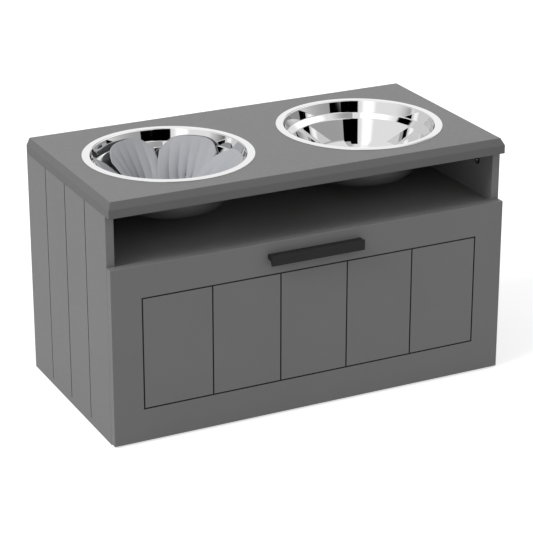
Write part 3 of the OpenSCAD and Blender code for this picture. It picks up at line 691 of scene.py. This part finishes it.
class TableTopBuilder(bpy.types.Operator):
    """Chamfered table top with its two bowl holes"""

    bl_idname = "feeder.table_top"
    bl_label = "Table Top"

    def execute(self, context):
        sizes = context.scene.feeder_sizes
        halves = [self.half(sizes, side) for side in (1, -1)]
        thing = piece("table_top", halves, finish("paint"), sharp=15)
        thing.data.materials.append(finish("edge_paint"))
        milled_in = sizes.chamfer_in + MILLED_REACH
        for face in thing.data.polygons:
            x, y = abs(face.center.x), abs(face.center.y)
            milled = x > TOP_HIGH[0] - milled_in or y > TOP_HIGH[1] - milled_in
            face.material_index = int(milled and abs(face.normal.z) < UPRIGHT)
        soften(thing, sizes.top_round, angle=15)
        rides(thing, "cabinet", "painted_board", "top_panel")
        return {"FINISHED"}

    def half(self, sizes, side):
        """Rings of points from a bowl's hole out to the edge of one half of the top.
        A ray at each angle from the hole's middle meets the half's rectangle; the
        rings go up the hole, over the face, down the chamfer and the edge, and back
        underneath. Quads in the plane between the two halves are left out."""
        low, high = TOP_LOW, TOP_HIGH
        middle = np.array([(BOWL_LOW[0] + BOWL_HIGH[0]) / 2, 0.0])
        near = np.array([0.0, low[1]])
        far = np.array([high[0], high[1]])
        corners = np.array([far, [near[0], far[1]], near, [far[0], near[1]]])
        turns = np.sort(np.concatenate([
            np.linspace(0, 2 * math.pi, TOP_STEPS, endpoint=False),
            np.arctan2(*(corners - middle).T[::-1]) % (2 * math.pi)]))
        turns = np.append(turns[np.insert(np.diff(turns) > 1e-4, 0, True)], turns[0] + 2 * math.pi)
        way = np.stack([np.cos(turns), np.sin(turns)], 1)
        safe = np.where(np.abs(way) < 1e-9, 1e-9, way)
        reach = np.minimum(*np.where(safe > 0, (far - middle) / safe, (near - middle) / safe).T)
        edge = middle + way * reach[:, None]
        hole = middle + way * sizes.hole_r

        def ring(base, z, inset=None):
            flat = base.copy()
            if inset:
                flat[:, 0] = base[:, 0] * (far[0] - inset) / far[0]
                depth = far[1] - near[1]
                flat[:, 1] = near[1] + inset + (base[:, 1] - near[1]) * (depth - inset) / depth
            return np.column_stack([flat, np.full(len(flat), z)])

        rows = np.stack([
            ring(hole, low[2]), ring(hole, high[2]), ring(edge, high[2], sizes.chamfer_in),
            ring(edge, high[2] - sizes.chamfer_down), ring(edge, low[2]), ring(hole, low[2])])
        points, faces, flat_map = grid(rows)
        inner = np.abs(points[:, 0]) < 1e-7
        faces = faces[~inner[faces].all(1)]
        points = points * (side, 1, 1)
        return points, (faces if side > 0 else faces[:, ::-1]), flat_map


class CabinetBoardsBuilder(bpy.types.Operator):
    """Side, shelf, bottom and back boards, with rounded edges and plank grooves"""

    bl_idname = "feeder.cabinet_boards"
    bl_label = "Cabinet Boards"

    def execute(self, context):
        sizes = context.scene.feeder_sizes
        # The second paint is painted shade on the groove walls
        paints = [finish("paint"), finish("groove_paint")]
        for node in ("left_side_panel", "right_side_panel"):
            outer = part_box(node)[0].x if node.startswith("left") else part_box(node)[1].x
            dressed(node, "painted_board", "cabinet", paints,
                    sizes.board_round, sizes.groove_round, in_groove(0, outer))
        for node in ("shelf_panel", "bottom_panel"):
            dressed(node, "painted_board", "cabinet", paints[:1], sizes.board_round)
        dressed("back_panel", "back_board", "cabinet", [finish("hardboard")], sizes.board_round / 2)
        return {"FINISHED"}


class DrawerBoardsBuilder(bpy.types.Operator):
    """Planked drawer front and the drawer's box"""

    bl_idname = "feeder.drawer_boards"
    bl_label = "Drawer Boards"

    def execute(self, context):
        sizes = context.scene.feeder_sizes
        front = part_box("drawer_front")[0].y
        # The second paint is painted shade on the groove walls
        paints = [finish("paint"), finish("groove_paint")]
        dressed("drawer_front", "painted_board", "drawer", paints,
                sizes.board_round, sizes.groove_round, in_groove(1, front))
        for node in ("drawer_left_side", "drawer_right_side", "drawer_back"):
            dressed(node, "drawer_board", "drawer", paints[:1], sizes.board_round)
        dressed("drawer_bottom", "back_board", "drawer", [finish("hardboard")], sizes.board_round / 2)
        return {"FINISHED"}


class HandleBuilder(bpy.types.Operator):
    """Black extruded handle with a front lip and a finger hollow"""

    bl_idname = "feeder.handle"
    bl_label = "Handle"

    def execute(self, context):
        sizes = context.scene.feeder_sizes
        low, high = HANDLE_LOW, HANDLE_HIGH
        web = high[2] - sizes.web_drop
        lip = low[1] + sizes.lip_t
        outline = rounded(
            [(low[1], low[2]), (lip, low[2]), (lip, web - sizes.web_h), (high[1], web - sizes.web_h),
             (high[1], web), (lip, web), (lip, high[2]), (low[1], high[2])],
            [0.0006, 0.0006, 0.0045, 0.0003, 0.0003, 0.0004, 0.0006, 0.0006], 15, closed=True)
        pull = carried(outline, low[0], high[0])
        thing = piece("handle_pull", [pull], finish("anodised_black"), sharp=35)
        rides(thing, "drawer", "black_handle", "handle")
        return {"FINISHED"}


class BowlsBuilder(bpy.types.Operator):
    """Two polished steel bowls with flat rims"""

    bl_idname = "feeder.bowls"
    bl_label = "Bowls"

    def execute(self, context):
        sizes = context.scene.feeder_sizes
        rim_r = (BOWL_HIGH[0] - BOWL_LOW[0]) / 2
        top = TOP_HIGH[2]
        floor = BOWL_LOW[2] + sizes.sheet - top
        wall_r = sizes.bowl_r - sizes.wall_in
        sheet = sizes.sheet
        inner = rounded(
            [(rim_r, sheet), (sizes.bowl_r, sheet + sizes.rim_rise), (wall_r, -sizes.wall_h),
             (wall_r - sizes.ledge_w, -sizes.wall_h - sizes.ledge_drop),
             (sizes.basin_r, floor), (0, floor)],
            [0, 0.002, 0.003, 0.004, sizes.basin_corner, 0], 4)
        outer = beside(inner, sheet)
        outer[-1, 0] = 0.0
        edge = rounded([outer[1], outer[0], inner[0], inner[1]],
                       [0, sheet * 0.35, sheet * 0.45, 0], 20)
        line = np.vstack([inner[1:], outer[:0:-1], edge[1:]])
        for node, body in (("left_bowl", "left_dish"), ("right_bowl", "right_dish")):
            low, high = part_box(node)
            middle = ((low.x + high.x) / 2, (low.y + high.y) / 2, top)
            bowl = spun(line, middle, BOWL_STEPS)
            thing = piece(node + "_steel", [bowl], finish("mirror_steel"), sharp=50)
            rides(thing, body, "polished_steel", node)
        return {"FINISHED"}


# Points across and up a petal, and the numbers of its form: how far its corners
# fall and how sharply, and the powers of its width and of its lean
PETAL_ACROSS, PETAL_UP = 109, 51
PETAL_FALL, PETAL_CORNER = 0.29, 3.15
PETAL_SPREAD, PETAL_LEAN = 0.46, 1.41

# Round on a petal's edges, as a share of its thickness
PETAL_ROUND = 0.42

# Radius of the hole in the insert's base for the suction cup's stem
STEM_HOLE_R = 0.0041


class InsertBuilder(bpy.types.Operator):
    """Slow-feed insert: pleated petals on a round base, and its suction cup"""

    bl_idname = "feeder.insert"
    bl_label = "Slow-Feed Insert"

    def execute(self, context):
        sizes = context.scene.feeder_sizes
        low, high = (np.array(c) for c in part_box("insert_petals"))
        cup_low, cup_high = (np.array(c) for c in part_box("insert_suction_cup"))
        middle = (cup_low + cup_high) / 2
        turns = sizes.petal_turn + 2 * math.pi * np.arange(sizes.petals) / sizes.petals
        base = low[2]
        foot_z = base + sizes.base_t / 3
        leaves = [self.petal(sizes, t, middle, foot_z, high[2]) for t in turns]
        thing = piece("petal_leaves", leaves, finish("silicone"), outward=False)
        wall = thing.modifiers.new("wall", "SOLIDIFY")
        wall.thickness = sizes.petal_t
        wall.offset = 0.0
        soften(thing, sizes.petal_t * PETAL_ROUND, angle=60, segments=4).harden_normals = False
        rides(thing, "slow_feed_insert", "petal_silicone", "insert_petals")
        disc = rounded(
            [(STEM_HOLE_R, 0), (sizes.base_r, 0),
             (sizes.base_r, sizes.base_t), (STEM_HOLE_R, sizes.base_t)],
            [0, 0.001, 0.001, 0], 15)
        disc = spun(np.vstack([disc, disc[:1]]), (middle[0], middle[1], base), BASE_STEPS)
        thing = piece("petal_base", [disc], finish("silicone"))
        rides(thing, "slow_feed_insert", "petal_silicone")
        self.cup(middle, cup_low[2], cup_high[2])
        return {"FINISHED"}

    def petal(self, sizes, turn, middle, foot_z, tip_z):
        """u runs across a petal from -1 to 1 and v up it from 0 to 1. The rise is
        v (1 - FALL |u|^CORNER), so the top is round. The width grows with the rise to
        the power SPREAD, the petal leans outwards with the rise to the power LEAN, its
        foot bends inwards by scoop (1 - rise) u^2, one side leads by lead u, and
        pleats that fade with the rise stand on the sheet along its level normal."""
        u = np.linspace(-1, 1, PETAL_ACROSS)[None, :]
        v = np.linspace(0, 1, PETAL_UP)[:, None]
        rise = v * (1 - PETAL_FALL * np.abs(u) ** PETAL_CORNER)
        x = (sizes.petal_foot_r + (sizes.petal_tip_r - sizes.petal_foot_r) * rise ** PETAL_LEAN
             - sizes.petal_scoop * (1 - rise) * u * u - sizes.petal_lead * u)
        y = u * (sizes.petal_foot_w / 2
                 + (sizes.petal_w - sizes.petal_foot_w) / 2 * rise ** PETAL_SPREAD)
        across_x, across_y = np.gradient(x, axis=1), np.gradient(y, axis=1)
        span = np.hypot(across_x, across_y)
        pleat = 0.5 - np.abs(np.sin(math.pi * sizes.pleats * (u + 1) / 2))
        fold = sizes.pleat_h * (1 - rise * rise) * pleat
        x, y = x + across_y / span * fold, y - across_x / span * fold
        z = foot_z + (tip_z - foot_z) * rise
        points = np.stack([middle[0] + x * math.cos(turn) - y * math.sin(turn),
                           middle[1] + x * math.sin(turn) + y * math.cos(turn), z], -1)
        return grid(points)

    def cup(self, middle, low_z, high_z):
        """The suction cup's half section, spun: a thin flared cup, a stem through
        the base and a domed button on top."""
        h = high_z - low_z
        cup_h = 0.007
        line = rounded(
            [(0, 0.004), (0.011, 0.003), (0.0175, 0), (0.019, 0), (0.0145, 0.0048), (0.011, cup_h),
             (0.004, cup_h), (0.004, cup_h + 0.003), (0.0065, cup_h + 0.003), (0.0062, h - 0.0012),
             (0.003, h), (0, h)],
            [0, 0.003, 0.0004, 0.0004, 0.004, 0.001, 0.0003, 0.0003, 0.0006, 0.002, 0.003, 0], 12)
        cup = spun(line, (middle[0], middle[1], low_z), CUP_STEPS)
        thing = piece("suction_cup", [cup], finish("silicone"))
        rides(thing, "slow_feed_insert", "cup_silicone", "insert_suction_cup")


class RunnersBuilder(bpy.types.Operator):
    """Sheet-steel runners and their nylon rollers"""

    bl_idname = "feeder.runners"
    bl_label = "Runners"

    def execute(self, context):
        for body in ("cabinet", "drawer"):
            for side in ("left", "right"):
                node = f"{body}_{side}_runner"
                dressed(node, "runner_steel", body, [finish("powder_coat")], RUNNER_ROUND)
        for place in ("front_left", "front_right", "rear_left", "rear_right"):
            self.roller(place + "_roller", place + "_wheel")
        return {"FINISHED"}

    def roller(self, node, body):
        """A closed section of radius and width, spun round the roller's pin: a flat
        tread with round shoulders and a shallow ring sunk in each side."""
        low, high = (np.array(c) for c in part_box(node))
        middle = (low + high) / 2
        r, w, bore, sunk = (high[2] - low[2]) / 2, (high[0] - low[0]) / 2, 0.00255, 0.0005
        half = [(r, w), (r - 0.0012, w), (r - 0.0016, w - sunk),
                (bore + 0.0014, w - sunk), (bore + 0.001, w), (bore, w)]
        rounds = [0.0006, 0.0001, 0.0002, 0.0002, 0.0001, 0.0001]
        section = rounded(half + [(x, -z) for x, z in half[::-1]], rounds + rounds[::-1],
                          15, closed=True)
        section = np.vstack([section, section[:1]])
        points, faces, flat_map = spun(section, (0, 0, 0), ROLLER_STEPS)
        points = points[:, [2, 0, 1]] + middle
        thing = piece(node + "_nylon", [(points, faces, flat_map)], finish("nylon"))
        rides(thing, body, "roller_nylon", node)


class FastenersBuilder(bpy.types.Operator):
    """Finishes of the cam fittings, screws, pins and dowels"""

    bl_idname = "feeder.fasteners"
    bl_label = "Fasteners"

    def execute(self, context):
        coat_nodes("zinc_plate", "cabinet_cam_bolts", "cabinet_cam_discs", "back_screws",
                   "cabinet_runner_screws", "cabinet_roller_pins", "drawer_cam_bolts",
                   "drawer_cam_discs", "drawer_screws", "drawer_runner_screws",
                   "drawer_roller_pins", "handle_screws")
        coat_nodes("beech", "cabinet_dowels", "drawer_dowels")
        return {"FINISHED"}


BUILDERS = (TableTopBuilder, CabinetBoardsBuilder, DrawerBoardsBuilder, HandleBuilder, BowlsBuilder,
            InsertBuilder, RunnersBuilder, FastenersBuilder, StageBuilder)


class FeederPanel(bpy.types.Panel):
    """Builders, sizes and colours of the feeder"""

    bl_idname = "VIEW3D_PT_feeder"
    bl_label = "Raised Pet Feeder"
    bl_space_type = "VIEW_3D"
    bl_region_type = "UI"
    bl_category = "Feeder"

    def draw(self, context):
        for builder in BUILDERS:
            self.layout.operator(builder.bl_idname)
        for group in (context.scene.feeder_sizes, context.scene.feeder_colours):
            box = self.layout.box()
            for name in group.__annotations__:
                box.prop(group, name)


CLASSES = (FeederSizes, FeederColours, *BUILDERS, FeederPanel)


def register():
    for cls in CLASSES:
        bpy.utils.register_class(cls)
    bpy.types.Scene.feeder_sizes = PointerProperty(type=FeederSizes)
    bpy.types.Scene.feeder_colours = PointerProperty(type=FeederColours)


def unregister():
    del bpy.types.Scene.feeder_colours
    del bpy.types.Scene.feeder_sizes
    for cls in reversed(CLASSES):
        bpy.utils.unregister_class(cls)


def main():
    register()
    bpy.ops.feeder.table_top()
    bpy.ops.feeder.cabinet_boards()
    bpy.ops.feeder.drawer_boards()
    bpy.ops.feeder.handle()
    bpy.ops.feeder.bowls()
    bpy.ops.feeder.insert()
    bpy.ops.feeder.runners()
    bpy.ops.feeder.fasteners()
    bpy.ops.feeder.stage()


if __name__ == "__main__":
    main()
